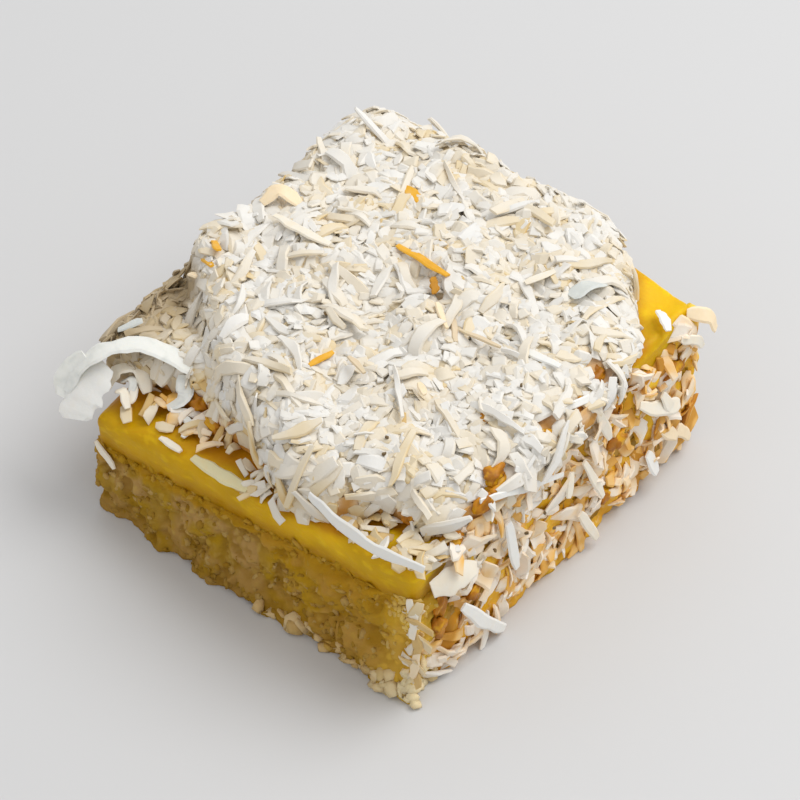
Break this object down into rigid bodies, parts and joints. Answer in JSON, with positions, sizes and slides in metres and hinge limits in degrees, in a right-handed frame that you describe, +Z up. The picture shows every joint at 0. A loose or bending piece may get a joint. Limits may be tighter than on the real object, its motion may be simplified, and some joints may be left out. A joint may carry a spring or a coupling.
{
  "type": "coconut lemon bar",
  "caption": "Square tray-bake bar: crumbly baked base, set lemon curd, a thick heap of grated coconut on top and a toasted coconut side.",
  "frame": {"origin": "middle of the bar's box at the flat underside of its base", "axes": "+Z up, -Y towards the cut face that shows base and curd, +X towards the toasted coconut side"},
  "size_m": [0.0658, 0.0684, 0.0357],
  "materials": {
    "baked_base": "dry, granular baked crumb",
    "lemon_curd": "moist, slightly translucent set curd",
    "coconut_topping": "soft, moist grated coconut",
    "toasted_edge": "toasted coconut flakes over brown crust"
  },
  "bodies": {
    "root": {"baked_base": "baked_base", "lemon_curd": "lemon_curd", "coconut_topping": "coconut_topping", "toasted_edge": "toasted_edge"}
  },
  "joints": []
}
